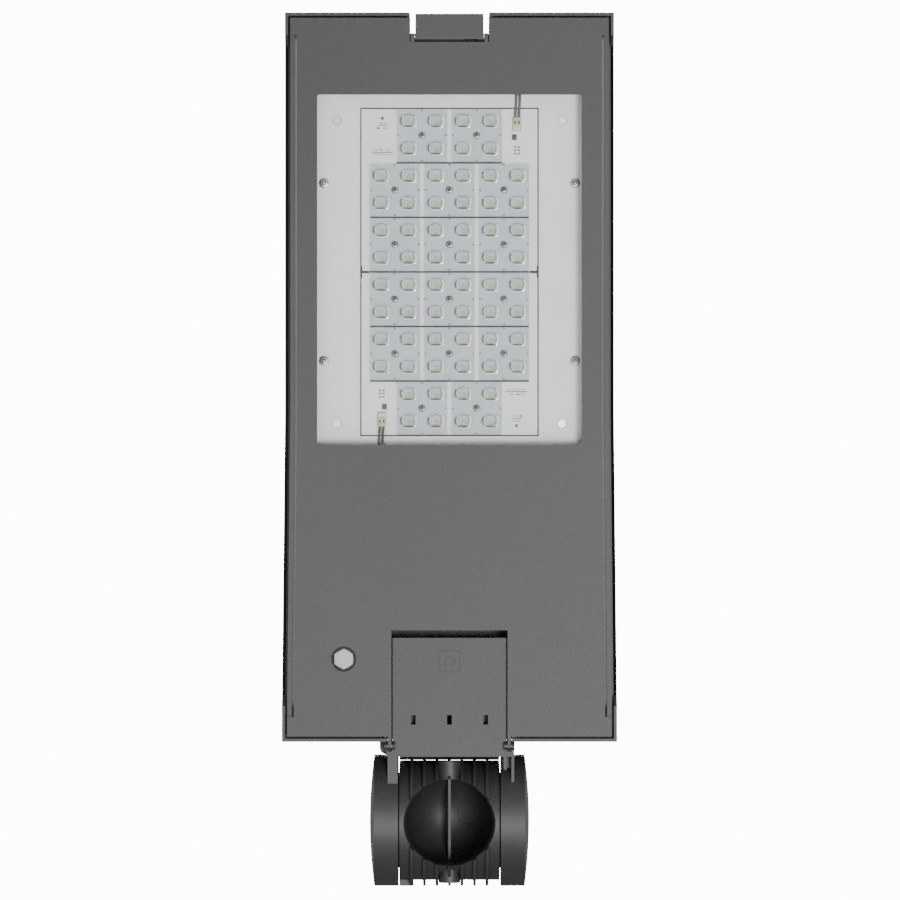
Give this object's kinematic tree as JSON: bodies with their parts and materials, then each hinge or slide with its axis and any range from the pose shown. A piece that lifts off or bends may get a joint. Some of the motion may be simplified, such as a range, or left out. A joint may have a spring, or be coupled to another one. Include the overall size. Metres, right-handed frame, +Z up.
{
  "type": "solar street lamp head",
  "caption": "Flat street lamp head with a solar panel on top, a glazed LED door underneath and a tilting knuckle for a pole top.",
  "frame": {"origin": "where the tilt axis of the knuckle crosses the axis of the pole bore", "axes": "+Z up along the pole, -Y towards the nose of the lamp, X along the tilt axis; light leaves towards -Z"},
  "size_m": [0.3086, 0.807, 0.122],
  "materials": {
    "anthracite_paint": "fine textured powder coat on cast aluminium",
    "stainless_steel": "satin",
    "bare_aluminium": "rolled",
    "anodised_aluminium": "black anodised",
    "white_paint": "semi-gloss white",
    "window_glass": "flat toughened glass",
    "panel_glass": "low-iron solar glass",
    "lens_acrylic": "clear moulded",
    "board_white": "white solder mask",
    "led_phosphor": "phosphor dome",
    "connector_beige": "moulded",
    "component_black": "moulded",
    "board_green": "green solder mask",
    "cable_grey": "silicone sheath",
    "cable_black": "rubber sheath",
    "seal_rubber": "foamed silicone",
    "vent_plastic": "polyamide",
    "nut_plastic": "polyamide",
    "friction_lining": "fibre washer",
    "cell_sleeve": "shrink sleeve over the can",
    "silicon_cell": "monocrystalline cell",
    "backsheet_white": "laminate film"
  },
  "bodies": {
    "pole_mount": {"spigot_socket": "anthracite_paint", "cable_knockout_plug": "anthracite_paint", "clamp_screws": "stainless_steel", "pivot_plug_left": "bare_aluminium", "pivot_plug_right": "bare_aluminium", "pivot_screws": "stainless_steel", "friction_washer_left": "friction_lining", "friction_washer_right": "friction_lining"},
    "head": {"battery_cells": "cell_sleeve", "battery_lead": "cable_black", "battery_protection_board": "board_green", "battery_tray": "bare_aluminium", "board_connectors": "connector_beige", "board_parts": "component_black", "cell_holders": "component_black", "cheek_cap_left": "anthracite_paint", "cheek_cap_right": "anthracite_paint", "controller_case": "bare_aluminium", "controller_screws": "stainless_steel", "heat_spreader": "bare_aluminium", "hinge_pins": "stainless_steel", "latch_striker": "stainless_steel", "led_board_front": "board_white", "led_board_rear": "board_white", "led_chips_front": "led_phosphor", "led_chips_rear": "led_phosphor", "lens_modules_front": "lens_acrylic", "lens_modules_rear": "lens_acrylic", "lens_screws": "stainless_steel", "panel_backsheet": "backsheet_white", "panel_frame": "anodised_aluminium", "panel_glass": "panel_glass", "panel_junction_box": "component_black", "panel_lead": "cable_black", "panel_screws": "stainless_steel", "reflector_plate": "white_paint", "reflector_screws": "stainless_steel", "reflector_spacers": "bare_aluminium", "solar_cells": "silicon_cell", "spreader_screws": "stainless_steel", "striker_screws": "stainless_steel", "terminal_blocks": "component_black", "tilt_yoke": "anthracite_paint", "top_housing": "anthracite_paint", "tray_screws": "stainless_steel", "wire_pair_front": "cable_grey", "wire_pair_rear": "cable_grey", "yoke_bolts": "stainless_steel"},
    "door": {"door_panel": "anthracite_paint", "door_gasket": "seal_rubber", "window_glass": "window_glass", "window_gasket": "seal_rubber", "glass_clips": "stainless_steel", "clip_screws": "stainless_steel", "vent_plug": "vent_plastic", "vent_seal": "seal_rubber", "vent_nut": "nut_plastic", "latch_pin": "stainless_steel"},
    "latch": {"latch_lever": "anthracite_paint", "latch_spring": "stainless_steel"}
  },
  "joints": [
    {"name": "tilt", "type": "hinge", "parent": "pole_mount", "child": "head", "pos_m": [0, 0, 0], "axis": [1, 0, 0], "range_deg": [-105, 10]},
    {"name": "door_hinge", "type": "hinge", "parent": "head", "child": "door", "pos_m": [0, -0.071, -0.051], "axis": [1, 0, 0], "range_deg": [0, 80]},
    {"name": "latch_turn", "type": "hinge", "parent": "door", "child": "latch", "pos_m": [0, -0.723, -0.0514], "axis": [1, 0, 0], "range_deg": [0, 28], "stiffness_Nm_per_rad": 0.15, "springref_deg": -28.65}
  ]
}
